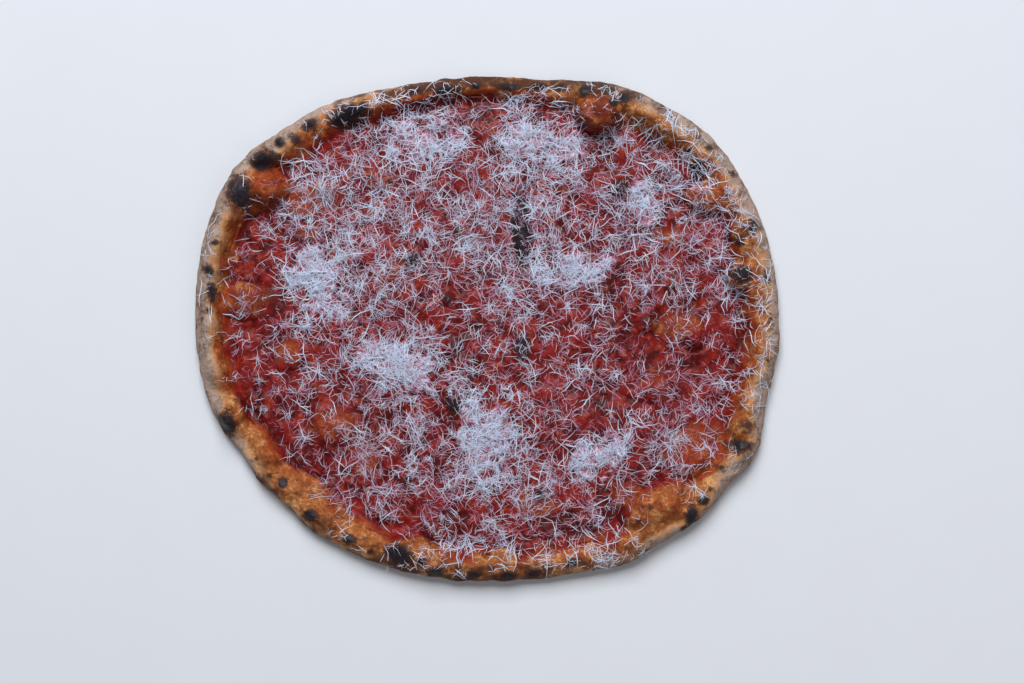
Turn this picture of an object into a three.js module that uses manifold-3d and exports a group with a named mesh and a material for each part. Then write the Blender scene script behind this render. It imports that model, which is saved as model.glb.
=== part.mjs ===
// A whole thin-crust pizza: a baked dough base with a puffed, blistered rim, a skin of tomato
// sauce, and finely grated hard cheese that lies loose and in low mounds.
// Millimetres, +Z up. The pizza lies on the plane z = 0, and the middle of its outline is at x = y = 0.

import * as THREE from 'three';
import { mergeVertices } from 'three/addons/utils/BufferGeometryUtils.js';
import Module from 'manifold-3d';

const wasm = await Module();
wasm.setup();

// Driving dimensions
const PIZZA_WIDTH = 356;
const PIZZA_DEPTH = 308;
const BASE_THICKNESS = 3.6;
const RIM_WIDTH = 25;
const RIM_HEIGHT = 13.5;
const SAUCE_THICKNESS = 1.8;
const SHRED_LENGTH = 15;
const SHRED_THICKNESS = 1.2;
const FIT_GAP = 0.35; // between two pieces that touch
const TRIM = 0.02; // facets flatter than this are merged

// Shares of the rim's width and height that shape its section
const CREST_SHARE = 0.46;
const WIDEST_SHARE = 0.42;
const FOOT_INSET = 8;
const SAUCE_SHARE = 0.8; // how far in from the edge the sauce starts

// How finely the surfaces are divided
const SECTORS = 84;
const SAUCE_CELLS = 20;
const BLISTER_RINGS = 5;

// The outline swells out of an ellipse, or draws in, around these directions (degrees from +X)
const OUTLINE_SWELLS = [
  { at: 22, spread: 13, rise: 5 },
  { at: 41, spread: 13, rise: 12.3 },
  { at: 60, spread: 12, rise: 9.5 },
  { at: 127, spread: 12, rise: 6.5 },
  { at: 147, spread: 12, rise: 11.5 },
  { at: 163, spread: 9, rise: 3 },
  { at: 187, spread: 12, rise: -1.5 },
  { at: 208, spread: 7, rise: -5 },
  { at: 221, spread: 6, rise: -3.5 },
  { at: 290, spread: 8, rise: 2 },
  { at: 302, spread: 8, rise: 7 },
  { at: 319, spread: 10, rise: 8 },
  { at: 335, spread: 7, rise: 8 },
  { at: 357, spread: 6, rise: 1.2 },
];

// The rim is narrower or wider, and lower or higher, around these directions
const RIM_WIDTH_SWELLS = [
  { at: 92, spread: 28, rise: -9 },
  { at: 180, spread: 20, rise: -3 },
  { at: 262, spread: 24, rise: -3 },
];
const RIM_HEIGHT_SWELLS = [
  { at: 92, spread: 30, rise: -2.5 },
  { at: 150, spread: 18, rise: 1.5 },
  { at: 40, spread: 18, rise: 1.5 },
  { at: 318, spread: 16, rise: 1.5 },
  { at: 200, spread: 12, rise: -1.5 },
];

// Blisters in the rim: middle, half sizes, turn of the first half size from +X, height of the top
const RIM_BLISTERS = [
  { x: 69, y: 131, across: [15, 12.5], turn: -10, top: 23 },
  { x: 134, y: 80, across: [15, 10], turn: -12, top: 14.5 },
  { x: 155, y: 32, across: [9, 9], turn: 0, top: 17.5 },
  { x: 156, y: 61, across: [10, 8], turn: 20, top: 17 },
  { x: 105, y: -108, across: [25, 14], turn: 27, top: 19.5 },
  { x: 130, y: -81, across: [17, 11], turn: 25, top: 12.5 },
  { x: 156, y: -60, across: [9, 11], turn: 10, top: 17.5 },
  { x: -138, y: 84, across: [21, 14], turn: 25, top: 18.5 },
  { x: -137, y: 104, across: [10, 7.5], turn: 20, top: 18 },
  { x: -148, y: 17, across: [17, 13], turn: 0, top: 12 },
  { x: -155, y: -50, across: [10, 13], turn: 15, top: 18.5 },
  { x: -46, y: -136, across: [21, 10], turn: -10, top: 17 },
  { x: 11, y: -140, across: [10, 7.5], turn: 0, top: 16 },
  { x: -84, y: 131, across: [14, 7], turn: 22, top: 17 },
  { x: -22, y: 146, across: [12, 5.5], turn: 5, top: 14 },
];

// Smaller blisters of the base that stand up through the sauce
const BASE_BLISTERS = [
  { x: 22, y: 58, across: [5.5, 19], turn: 8, top: 9 },
  { x: -45, y: 43, across: [6.5, 7], turn: 0, top: 8.5 },
  { x: -16, y: 62, across: [6, 5.5], turn: 0, top: 8 },
  { x: -23, y: 18, across: [4.5, 4.5], turn: 0, top: 7.8 },
  { x: -20, y: -45, across: [5, 10], turn: 15, top: 8.5 },
  { x: 22, y: -12, across: [7, 10], turn: 0, top: 8.5 },
  { x: -48, y: -92, across: [5.5, 6], turn: 0, top: 8 },
  { x: 33, y: -99, across: [7, 6], turn: 0, top: 8.5 },
  { x: 82, y: 86, across: [7, 6.5], turn: 0, top: 9 },
  { x: -91, y: -62, across: [12, 10], turn: 10, top: 8.5 },
  { x: 127, y: -3, across: [10, 10], turn: 0, top: 9.5 },
  { x: 99, y: 3, across: [7, 6.5], turn: 0, top: 8.2 },
  { x: -116, y: -18, across: [6.5, 7.5], turn: 0, top: 8.5 },
  { x: -95, y: 85, across: [8, 7], turn: 0, top: 8.5 },
  { x: -67, y: 91, across: [9, 7], turn: -20, top: 8.5 },
  { x: 14, y: -103, across: [6, 5.5], turn: 0, top: 7.8 },
  { x: 97, y: -61, across: [6.5, 5.5], turn: 0, top: 7.8 },
];

// Low mounds where the grated cheese lies thickest: height is over the sauce
const CHEESE_MOUNDS = [
  { x: 33, y: 115, across: [27, 12], turn: -12, height: 3.6 },
  { x: -102, y: 29, across: [14, 27], turn: 22, height: 3.4 },
  { x: -51, y: -23, across: [27, 12], turn: -18, height: 3.8 },
  { x: 0, y: -68, across: [16, 24], turn: 10, height: 3.2 },
  { x: 69, y: -77, across: [15, 14], turn: 30, height: 3.6 },
  { x: 54, y: 36, across: [24, 10], turn: 6, height: 3.4 },
  { x: 96, y: 78, across: [8, 14], turn: 12, height: 3.2 },
  { x: -38, y: 115, across: [22, 12], turn: 8, height: 2.8 },
];
const SHREDS_PER_MOUND = 9;
const SHREDS_ON_SAUCE = 64;
const SHREDS_ON_RIM = 22;

const MATERIALS = {
  crust: new THREE.MeshStandardMaterial({ color: 0xb98a58, roughness: 0.85, metalness: 0 }),
  sauce: new THREE.MeshStandardMaterial({ color: 0x8c2a1c, roughness: 0.45, metalness: 0 }),
  cheese: new THREE.MeshStandardMaterial({ color: 0xe4e0dc, roughness: 0.7, metalness: 0 }),
};

const radians = THREE.MathUtils.degToRad;

// Sum of the swells at an angle in radians, each a smooth bump around its own direction
function swell(swells, angle) {
  return swells.reduce((sum, { at, spread, rise }) => {
    const turn = Math.atan2(Math.sin(angle - radians(at)), Math.cos(angle - radians(at)));
    return sum + rise * Math.exp(-((turn / radians(spread)) ** 2));
  }, 0);
}

function edgeRadius(angle) {
  const across = Math.cos(angle) / (PIZZA_WIDTH / 2);
  const up = Math.sin(angle) / (PIZZA_DEPTH / 2);
  return 1 / Math.hypot(across, up) + swell(OUTLINE_SWELLS, angle);
}

const rimWidth = (angle) => RIM_WIDTH + swell(RIM_WIDTH_SWELLS, angle);

function rimHeight(angle) {
  const waver = 0.7 * Math.sin(7 * angle + 1) + 0.5 * Math.sin(12 * angle);
  return RIM_HEIGHT + swell(RIM_HEIGHT_SWELLS, angle) + waver;
}

// Slow rise and fall of a surface, from -1 to 1, at a wavelength in millimetres
function ripple(x, y, wavelength) {
  const turn = (2 * Math.PI) / wavelength;
  return Math.sin(turn * (x + 0.3 * y)) * Math.cos(turn * (y - 0.2 * x) + 1);
}

// Height of the dough's top without its blisters
function doughTop(x, y) {
  const angle = Math.atan2(y, x);
  const inset = edgeRadius(angle) - Math.hypot(x, y);
  const width = rimWidth(angle);
  const crest = width * CREST_SHARE;
  const height = rimHeight(angle);
  const widest = height * WIDEST_SHARE;
  if (inset >= width) return BASE_THICKNESS;
  if (inset >= crest) {
    const fall = (inset - crest) / (width - crest);
    return BASE_THICKNESS + ((height - BASE_THICKNESS) * (1 + Math.cos(Math.PI * fall))) / 2;
  }
  const out = Math.min(1, (crest - inset) / crest);
  return widest + (height - widest) * Math.sqrt(1 - out ** 2);
}

// Height of the sauce's top, which thins out towards its border on the rim
function sauceTop(x, y) {
  const angle = Math.atan2(y, x);
  const inset = edgeRadius(angle) - Math.hypot(x, y);
  const full = THREE.MathUtils.smoothstep(inset / rimWidth(angle), SAUCE_SHARE, SAUCE_SHARE + 0.5);
  const thickness = SAUCE_THICKNESS + 0.4 * ripple(x, y, 62) + 0.2 * ripple(y, x, 37);
  return doughTop(x, y) + THREE.MathUtils.lerp(2.4 * FIT_GAP, thickness, full);
}

// Where a point lies in a turned oval: 0 in the middle, 1 on its edge
function ovalShare({ x, y, across, turn }, px, py) {
  const point = new THREE.Vector2(px - x, py - y).rotateAround(new THREE.Vector2(), -radians(turn));
  return Math.hypot(point.x / across[0], point.y / across[1]);
}

// Random numbers from 0 to 1 that are the same on every run
function seeded(seed) {
  let state = seed;
  return () => {
    state = (state * 1664525 + 1013904223) % 4294967296;
    return state / 4294967296;
  };
}

// A closed three.js geometry as a solid that can be joined and cut
function solidFrom(geometry) {
  const bare = geometry.clone();
  bare.deleteAttribute('normal');
  bare.deleteAttribute('uv');
  const merged = mergeVertices(bare, 1e-4);
  const index = [];
  for (let i = 0; i < merged.index.count; i += 3) {
    const [a, b, c] = [0, 1, 2].map((k) => merged.index.getX(i + k));
    if (a !== b && b !== c && c !== a) index.push(a, b, c);
  }
  return new wasm.Manifold(
    new wasm.Mesh({
      numProp: 3,
      vertProperties: merged.attributes.position.array,
      triVerts: new Uint32Array(index),
    }),
  );
}

// The largest of a solid's separate bodies without its loose scraps and needless facets
function largestBody(solid) {
  const bodies = solid.decompose();
  return bodies.reduce((best, body) => (body.volume() > best.volume() ? body : best)).simplify(TRIM);
}

function meshFrom(name, solid, material) {
  const { numProp, vertProperties, triVerts } = solid.getMesh();
  const geometry = new THREE.BufferGeometry();
  const positions = new Float32Array((vertProperties.length / numProp) * 3);
  for (let i = 0; i < positions.length / 3; i += 1) {
    positions.set(vertProperties.subarray(i * numProp, i * numProp + 3), i * 3);
  }
  geometry.setAttribute('position', new THREE.BufferAttribute(positions, 3));
  geometry.setIndex(new THREE.BufferAttribute(triVerts, 1));
  const flat = geometry.toNonIndexed();
  flat.computeVertexNormals();
  const mesh = new THREE.Mesh(flat, material);
  mesh.name = name;
  return mesh;
}

// The dough without blisters: a turned body whose every section is reshaped for its direction
function doughBody() {
  const underside = [
    () => [0, 0],
    (angle) => [edgeRadius(angle) - FOOT_INSET, 0],
    (angle) => [edgeRadius(angle) - 2.5, rimHeight(angle) * 0.13],
  ];
  const rimShares = [0, 0.07, 0.22, CREST_SHARE, 0.73, 1];
  const rim = rimShares.map((share) => (angle) => [edgeRadius(angle) - rimWidth(angle) * share]);
  const stations = [...underside, ...rim, () => [0]];
  const profile = stations.map((_, i) => new THREE.Vector2(i % (stations.length - 1) === 0 ? 0 : 1, i));
  const body = new THREE.LatheGeometry(profile, SECTORS);
  const position = body.attributes.position;
  for (let i = 0; i < position.count; i += 1) {
    const angle = (2 * Math.PI * (Math.floor(i / stations.length) % SECTORS)) / SECTORS;
    const [radius, z] = stations[i % stations.length](angle);
    const x = radius * Math.cos(angle);
    const y = radius * Math.sin(angle);
    position.setXYZ(i, x, y, z ?? doughTop(x, y));
  }
  return solidFrom(body);
}

// An egg-shaped blister that stands on the middle of the base's thickness
function blister({ x, y, across, turn, top }, growth = 0) {
  const root = BASE_THICKNESS / 2;
  const sides = [7, 8, 10].find((count) => Math.max(...across) < count * 1.1) ?? 11;
  const egg = new THREE.SphereGeometry(1, sides, BLISTER_RINGS).rotateX(Math.PI / 2);
  const position = egg.attributes.position;
  for (let i = 0; i < position.count; i += 1) {
    const z = position.getZ(i);
    position.setZ(i, z > 0 ? z * (top + growth - root) : z * root * 0.7);
  }
  egg.scale(across[0] + growth, across[1] + growth, 1).rotateZ(radians(turn)).translate(x, y, root);
  return solidFrom(egg);
}

// A shred of cheese: a three-sided sliver, ridge up, that bends to follow the ground under it
function shred({ x, y, turn, length, curl, ground }) {
  const sliver = new THREE.SphereGeometry(1, 3, 3, Math.PI / 2).rotateZ(Math.PI / 2);
  const position = sliver.attributes.position;
  for (let i = 0; i < position.count; i += 1) {
    const along = position.getX(i);
    const side = position.getY(i) * SHRED_THICKNESS * 0.55 + curl * along ** 2;
    const px = x + (along * length * Math.cos(turn)) / 2 - side * Math.sin(turn);
    const py = y + (along * length * Math.sin(turn)) / 2 + side * Math.cos(turn);
    const ridge = position.getZ(i) > 0.1;
    position.setXYZ(i, px, py, ground(px, py) + SHRED_THICKNESS * (ridge ? 0.6 : -0.4));
  }
  return solidFrom(sliver);
}

// Shreds spread over a surface: a place is drawn, and kept where it is free and clear of the last ones
function scatter({ count, seed, place, free, apart, ground }) {
  const random = seeded(seed);
  const laid = [];
  const centres = [];
  for (let tries = 0; laid.length < count && tries < count * 60; tries += 1) {
    const { x, y } = place(random);
    const turn = random() * Math.PI;
    const length = SHRED_LENGTH * (0.75 + 0.6 * random());
    const curl = (random() - 0.5) * 4;
    const reach = [-0.5, 0, 0.5].map((share) => [
      x + share * length * Math.cos(turn),
      y + share * length * Math.sin(turn),
    ]);
    const clear = centres.every(([cx, cy]) => Math.hypot(cx - x, cy - y) > apart);
    if (clear && reach.every(([px, py]) => free(px, py))) {
      centres.push([x, y]);
      laid.push(shred({ x, y, turn, length, curl, ground }));
    }
  }
  return laid;
}

function dough(growth = 0) {
  const blisters = [...RIM_BLISTERS, ...BASE_BLISTERS].map((oval) => blister(oval, growth));
  return wasm.Manifold.union([doughBody().translate([0, 0, growth]), ...blisters]);
}

const rimShare = (x, y) => {
  const angle = Math.atan2(y, x);
  return (edgeRadius(angle) - Math.hypot(x, y)) / rimWidth(angle);
};

function buildCrust() {
  const shreds = scatter({
    count: SHREDS_ON_RIM,
    seed: 11,
    place: (random) => {
      const angle = 2 * Math.PI * random();
      const radius = edgeRadius(angle) - rimWidth(angle) * (0.3 + 0.3 * random());
      return { x: radius * Math.cos(angle), y: radius * Math.sin(angle) };
    },
    free: (x, y) => {
      const share = rimShare(x, y);
      const bare = share > 0.15 && share < SAUCE_SHARE - 0.1;
      return bare && RIM_BLISTERS.every((oval) => ovalShare(oval, x, y) > 1.1);
    },
    apart: 9,
    ground: doughTop,
  });
  return largestBody(wasm.Manifold.union([dough(), ...shreds]));
}

// A flat slab whose square grid is drawn round, so that its rings follow the sauce's outline
function sauceSlab() {
  const slab = new THREE.BoxGeometry(2, 2, 2, SAUCE_CELLS, SAUCE_CELLS, 1);
  const position = slab.attributes.position;
  for (let i = 0; i < position.count; i += 1) {
    const [u, v] = [position.getX(i), position.getY(i)];
    const ring = Math.max(Math.abs(u), Math.abs(v));
    const wide = Math.abs(u) >= Math.abs(v);
    const slant = ring ? (Math.PI / 4) * (wide ? v / u : u / v) : 0;
    const from = wide ? slant : Math.PI / 2 - slant;
    const angle = from + ((wide ? u : v) < 0 ? Math.PI : 0);
    const edge = edgeRadius(angle) - rimWidth(angle) * SAUCE_SHARE - 1.2 * Math.sin(13 * angle);
    const [x, y] = [ring * edge * Math.cos(angle), ring * edge * Math.sin(angle)];
    position.setXYZ(i, x, y, position.getZ(i) > 0 ? sauceTop(x, y) : BASE_THICKNESS / 2);
  }
  return solidFrom(slab);
}

function buildSauce(cutter) {
  const ovals = [...RIM_BLISTERS, ...BASE_BLISTERS, ...CHEESE_MOUNDS];
  const shreds = scatter({
    count: SHREDS_ON_SAUCE,
    seed: 23,
    place: (random) => {
      const angle = 2 * Math.PI * random();
      const radius = (edgeRadius(angle) - rimWidth(angle) * 1.2) * Math.sqrt(random());
      return { x: radius * Math.cos(angle), y: radius * Math.sin(angle) };
    },
    free: (x, y) => {
      const onSauce = rimShare(x, y) > SAUCE_SHARE + 0.15;
      return onSauce && ovals.every((oval) => ovalShare(oval, x, y) > 1.15);
    },
    apart: 13,
    ground: sauceTop,
  });
  return largestBody(wasm.Manifold.union([largestBody(sauceSlab().subtract(cutter)), ...shreds]));
}

// A mound: a low wavering core of matted cheese with single shreds lying over it
function buildMound(mound, number, cutters) {
  const { x, y, across, turn, height } = mound;
  const domeTop = (px, py) => {
    const share = ovalShare(mound, px, py) / 0.8;
    return sauceTop(px, py) + height * 0.75 * Math.sqrt(Math.max(0, 1 - share ** 2));
  };
  const core = new THREE.SphereGeometry(1, 12, 4).rotateX(Math.PI / 2);
  const position = core.attributes.position;
  for (let i = 0; i < position.count; i += 1) {
    const around = Math.atan2(position.getY(i), position.getX(i));
    const ragged = 0.12 * Math.sin(3 * around + number) + 0.08 * Math.sin(5 * around + 2 * number);
    const reach = 0.8 * (1 + ragged);
    const spot = new THREE.Vector2(position.getX(i) * across[0], position.getY(i) * across[1]);
    spot.multiplyScalar(reach).rotateAround(new THREE.Vector2(), radians(turn));
    const z = position.getZ(i);
    const rise = z > 0 ? z * height * 0.75 : z * 0.5;
    position.setXYZ(i, x + spot.x, y + spot.y, sauceTop(x + spot.x, y + spot.y) + rise);
  }
  const shreds = scatter({
    count: SHREDS_PER_MOUND,
    seed: 140 + number,
    place: (random) => {
      const around = 2 * Math.PI * random();
      const share = 0.8 * Math.sqrt(random());
      const spot = new THREE.Vector2(across[0] * Math.cos(around), across[1] * Math.sin(around));
      spot.multiplyScalar(share).rotateAround(new THREE.Vector2(), radians(turn));
      return { x: x + spot.x, y: y + spot.y };
    },
    free: (px, py) => ovalShare(mound, px, py) < 1.15,
    apart: 5,
    ground: domeTop,
  });
  const whole = wasm.Manifold.union([solidFrom(core), ...shreds]);
  return largestBody(cutters.reduce((piece, cutter) => piece.subtract(cutter), whole));
}

const crustSolid = buildCrust();
const crustCutter = dough(FIT_GAP);
const sauceSolid = buildSauce(crustCutter);
const sauceCutter = sauceSolid.translate([0, 0, FIT_GAP]);
const pizza = new THREE.Group();
pizza.add(meshFrom('crust', crustSolid, MATERIALS.crust));
pizza.add(meshFrom('tomato_sauce', sauceSolid, MATERIALS.sauce));
CHEESE_MOUNDS.forEach((mound, i) => {
  const solid = buildMound(mound, i + 1, [crustCutter, sauceSolid, sauceCutter]);
  pizza.add(meshFrom(`cheese_mound_${i + 1}`, solid, MATERIALS.cheese));
});

// The middle of the outline goes to the origin
const middle = new THREE.Box3().setFromObject(pizza).getCenter(new THREE.Vector3());
pizza.position.set(-middle.x, -middle.y, 0);

export default pizza;
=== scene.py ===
"""A whole thin-crust pizza with a charred rim, tomato sauce and finely grated hard cheese."""

import math

import bmesh
import bpy
import numpy as np
from mathutils import Matrix, Vector


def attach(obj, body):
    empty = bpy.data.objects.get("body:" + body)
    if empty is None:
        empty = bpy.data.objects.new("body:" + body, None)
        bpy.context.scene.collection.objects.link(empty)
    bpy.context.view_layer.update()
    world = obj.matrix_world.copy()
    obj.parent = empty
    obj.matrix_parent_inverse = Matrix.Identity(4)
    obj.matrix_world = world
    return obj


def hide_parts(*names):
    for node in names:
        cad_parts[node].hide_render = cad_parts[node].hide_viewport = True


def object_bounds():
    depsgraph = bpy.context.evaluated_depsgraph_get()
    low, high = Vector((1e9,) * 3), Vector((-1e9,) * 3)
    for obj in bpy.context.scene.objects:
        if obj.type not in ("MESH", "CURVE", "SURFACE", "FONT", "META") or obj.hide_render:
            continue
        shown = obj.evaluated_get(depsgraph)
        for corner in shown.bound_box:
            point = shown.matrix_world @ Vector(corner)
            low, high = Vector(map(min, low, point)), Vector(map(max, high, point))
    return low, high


bl_info = {
    "name": "Thin-crust pizza",
    "version": (1, 0, 0),
    "blender": (4, 5, 0),
    "location": "View3D > Sidebar > Pizza",
    "description": "Makes a baked pizza with its crust, sauce, grated cheese and herbs",
    "category": "Add Mesh",
}

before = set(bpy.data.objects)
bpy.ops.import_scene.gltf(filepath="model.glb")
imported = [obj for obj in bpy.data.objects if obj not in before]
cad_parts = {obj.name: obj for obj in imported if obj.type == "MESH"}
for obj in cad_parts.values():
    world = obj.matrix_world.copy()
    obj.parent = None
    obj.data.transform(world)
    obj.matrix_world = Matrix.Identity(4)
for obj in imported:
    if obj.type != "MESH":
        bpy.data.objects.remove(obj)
CAD_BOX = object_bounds()

MM = 0.001
SKIN = 0.02  # how far inside the CAD box the points stay, in millimetres

# The photograph: width and middle from the pizza's in pixels, millimetres to a pixel at a height
PHOTO_WIDTH = 1024
PHOTO_MIDDLE = (24.6, -12.7)
PHOTO_SCALE = 0.61
SCALE_HEIGHT = 6

# Where the outline swells out of its ellipse: direction in degrees, spread in degrees, rise in mm
OUTLINE_SWELLS = [
    (22, 13, 5),
    (41, 13, 12.3),
    (60, 12, 9.5),
    (127, 12, 6.5),
    (147, 12, 11.5),
    (163, 9, 3),
    (187, 12, -1.5),
    (208, 7, -5),
    (221, 6, -3.5),
    (290, 8, 2),
    (302, 8, 7),
    (319, 10, 8),
    (335, 7, 8),
    (357, 6, 1.2),
]
OVERHANG = 4  # how far it swells out past the ellipse in depth, in millimetres

# How the rim's width and height swell, in the same terms
RIM_WIDTH_SWELLS = [(92, 28, -9), (180, 20, -3), (262, 24, -3)]
RIM_HEIGHT_SWELLS = [(92, 30, -2.5), (150, 18, 1.5), (40, 18, 1.5), (318, 16, 1.5), (200, 12, -1.5)]

# The rim's section: the crest as a share of its width, where it is widest as a share of its
# height, and how far the foot is tucked in under it in millimetres
CREST_SHARE = 0.46
WIDEST_SHARE = 0.42
FOOT_INSET = 8

# How far flour reaches over the rim as a share of its width, and how brown the rim is, where a
# negative amount paints the crust paler as painted light: direction in degrees, spread in degrees,
# how much more
FLOUR_REACH = 0.12
FLOUR_SWELLS = [
    (180, 26, 0.4),
    (155, 20, 0.08),
    (138, 18, 0.2),
    (92, 24, -0.1),
    (48, 16, 0.3),
    (28, 10, 0.1),
    (346, 7, 0.2),
    (330, 6, 0.28),
    (2, 20, 0.16),
    (310, 10, 0.1),
    (268, 30, -0.08),
]
BAKE_AND_LIGHT_SWELLS = [
    (92, 26, 1.25),
    (65, 9, 0.5),
    (150, 20, 0.15),
    (50, 18, 0.4),
    (220, 18, 0.4),
    (268, 36, 0.9),
    (305, 12, 0.1),
    (0, 22, 0.12),
    # Painted light: the south-east crust is painted paler, where the lamp lights it less than the
    # rest
    (322, 16, -0.12),
    (180, 20, 0.25),
]

# Blisters that baked browner than the dough around them: x, y, two half sizes, turn, how brown
BROWN_PATCHES = [(68, 128, 18, 15, -10, 0.8), (-128, 78, 22, 17, 25, 0.45)]

# How much further out or in than usual the sauce ends, as a share of the rim's width
SAUCE_SWELLS = [
    (105, 24, 0.2),
    (180, 18, -0.08),
    (56, 12, -0.2),
    (145, 8, -0.1),
    (230, 13, -0.2),
    (280, 12, 0.12),
]

# Rim blisters: x, y, two half sizes, turn of the first from +X, height of the top (in mm and
# degrees) and how far sauce has coloured it
RIM_BLISTERS = [
    (69, 131, 15, 12.5, -10, 23, 0.8),
    (134, 80, 15, 10, -12, 14.5, 0.7),
    (155, 32, 9, 9, 0, 17.5, 0.1),
    (156, 61, 10, 8, 20, 17, 0.15),
    (105, -108, 25, 14, 27, 19.5, 0.45),
    (130, -81, 17, 11, 25, 12.5, 0.95),
    (156, -60, 9, 11, 10, 17.5, 0.4),
    (-138, 84, 21, 14, 25, 18.5, 0.75),
    (-137, 104, 10, 7.5, 20, 18, 0.2),
    (-148, 17, 17, 13, 0, 12, 0.95),
    (-155, -50, 10, 13, 15, 18.5, 0.05),
    (-46, -136, 21, 10, -10, 17, 0.25),
    (11, -140, 10, 7.5, 0, 16, 0.25),
    (-84, 131, 14, 7, 22, 17, 0.3),
    (-22, 146, 12, 5.5, 5, 14, 0.3),
]

# Blisters that come up through the sauce: the same, without the colour
BASE_BLISTERS = [
    (22, 58, 5.5, 19, 8, 9),
    (-45, 43, 6.5, 7, 0, 8.5),
    (-16, 62, 6, 5.5, 0, 8),
    (-23, 18, 4.5, 4.5, 0, 7.8),
    (-20, -45, 5, 10, 15, 8.5),
    (22, -12, 7, 10, 0, 8.5),
    (-48, -92, 5.5, 6, 0, 8),
    (33, -99, 7, 6, 0, 8.5),
    (82, 86, 7, 6.5, 0, 9),
    (-91, -62, 12, 10, 10, 8.5),
    (127, -3, 10, 10, 0, 9.5),
    (99, 3, 7, 6.5, 0, 8.2),
    (-116, -18, 6.5, 7.5, 0, 8.5),
    (-95, 85, 8, 7, 0, 8.5),
    (-67, 91, 9, 7, -20, 8.5),
    (14, -103, 6, 5.5, 0, 7.8),
    (97, -61, 6.5, 5.5, 0, 7.8),
]

# Burnt spots: x, y, two half sizes, turn, depth of the burn
SCORCHES = [
    (-148.5, 82, 7, 10.5, 8, 1.05),
    (-134, 102, 8, 5.5, 25, 1),
    (-125, 113, 4, 4, 0, 0.85),
    (-115, 116, 4.8, 4.2, 0, 0.8),
    (-106, 124, 6, 4.2, 20, 0.85),
    (-83, 130, 13, 6, 22, 1),
    (-43, 145, 4, 2.4, 0, 0.85),
    (-24, 145, 8, 3.6, 0, 0.95),
    (-6, 148, 4, 2.4, 0, 0.9),
    (14, 147, 8.5, 2.6, 0, 0.95),
    (33, 148, 4, 2.2, 0, 0.9),
    (46, 147, 4, 2.2, 0, 0.9),
    (60, 144, 4.6, 3.4, 0, 1.05),
    (74, 146, 3, 2.4, 0, 0.9),
    (84, 140, 3.8, 4.3, 0, 1),
    (77, 136, 2.8, 2.6, 0, 1),
    (136, 110, 4, 4, 0, 0.65),
    (123, 108, 3, 2.4, 0, 0.7),
    (129, 96, 4.3, 6, 10, 1),
    (150, 94, 3.8, 3.2, 0, 0.7),
    (161, 62, 8, 6.6, 20, 0.7),
    (154, 52, 3, 2.8, 0, 0.7),
    (155, 33, 6.2, 5.3, 0, 1),
    (170, 30, 4.5, 8, 0, 0.62),
    (173, 5, 3.5, 8, 0, 0.6),
    (171, -20, 3, 6, 0, 0.6),
    (158, -58, 6.2, 6.2, 0, 0.65),
    (154, -71, 6.8, 4.6, 0, 0.95),
    (143, -84, 4, 2.8, 0, 0.75),
    (136, -97, 2.6, 2.2, 0, 0.7),
    (132, -104, 3.8, 2.8, 0, 1),
    (125, -113, 4.3, 6.4, -15, 1),
    (121, -121, 2.6, 2.2, 0, 0.9),
    (52, -142, 2.6, 2.2, 0, 1),
    (29, -149, 3.8, 2.6, 0, 1),
    (14, -150, 5, 2.8, 0, 1),
    (-7, -149, 3.8, 2.4, 0, 0.95),
    (-29, -148, 5.5, 3, 0, 1),
    (-39, -140, 2.6, 2.2, 0, 1),
    (-53, -137, 8.5, 7.2, 0, 1),
    (-83, -128, 4.3, 3.4, 0, 1),
    (-73, -127, 2.6, 2.2, 0, 0.65),
    (-70, -135, 2.6, 2.2, 0, 0.75),
    (-106, -113, 4.3, 3.7, 0, 1),
    (-123, -93, 3.4, 3.4, 0, 0.95),
    (-131, -89, 2.4, 2.2, 0, 0.65),
    (-139, -79, 2.6, 2.2, 0, 0.65),
    (-156, -57, 5.5, 7.6, 10, 1),
    (-151, -43, 2.8, 2.6, 0, 0.6),
    (-168, 36, 4, 3.8, 0, 0.8),
    (-166, 22, 3.6, 6.4, 0, 0.85),
    (-163, 52, 3.4, 2, 0, 0.85),
    (-168, 11, 2.4, 2.2, 0, 0.75),
    (99, -108, 3.2, 2.8, 0, 0.7),
    (93, -116, 2.8, 2.8, 0, 0.65),
    (-45, 43, 4.8, 4.8, 0, 1),
    (-17, 61, 3, 3, 0, 0.85),
    (-23, 19, 2.6, 2.8, 0, 0.9),
    (22, 60, 4.8, 20, 5, 1.35),
    (82, 86, 4.3, 4, 0, 1),
    (22, -10, 5, 8, 0, 1.05),
    (-20, -45, 4.2, 7.6, 15, 1),
    (33, -99, 4.3, 3.2, 0, 0.85),
    (-48, -92, 2.6, 2.4, 0, 0.95),
    (-37, -69, 3.4, 3, 0, 0.75),
    (-91, -61, 7, 6, 0, 0.5),
    (149, -25, 3.6, 4.2, 0, 0.6),
    (71, -45, 2.6, 2.4, 0, 0.75),
    (-70, 92, 3, 2, 0, 0.85),
    (-58, 90, 2.8, 2, 0, 0.8),
    (-22, 108, 2.4, 2.8, 0, 0.85),
    (2, 127, 2, 2.4, 0, 0.7),
]

# Where the sauce is so thin that dough shows: x, y, two half sizes, turn, how thin
THIN_SAUCE = [
    (-105, 80, 24, 13, 10, 0.8),
    (-66, 91, 14, 9, -10, 0.8),
    (-108, 60, 10, 8, 0, 0.5),
    (-90, 45, 8, 8, 0, 0.6),
    (-120, 31, 10, 9, 0, 0.6),
    (-60, 36, 12, 9, 0, 0.55),
    (-45, 43, 9, 9, 0, 0.6),
    (-15, 60, 9, 9, 0, 0.65),
    (22, 58, 12, 20, 8, 0.55),
    (2, 122, 9, 7, 0, 0.6),
    (62, 44, 8, 7, 0, 0.5),
    (113, 56, 16, 10, 10, 0.5),
    (118, 1, 20, 10, 0, 0.6),
    (105, -28, 9, 9, 0, 0.6),
    (126, -68, 26, 12, 25, 0.85),
    (88, -102, 12, 10, 0, 0.8),
    (30, -105, 18, 13, 0, 0.7),
    (-120, -14, 11, 10, 0, 0.75),
    (-92, -58, 20, 15, 10, 0.7),
    (-74, -80, 12, 14, 0, 0.7),
]

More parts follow.
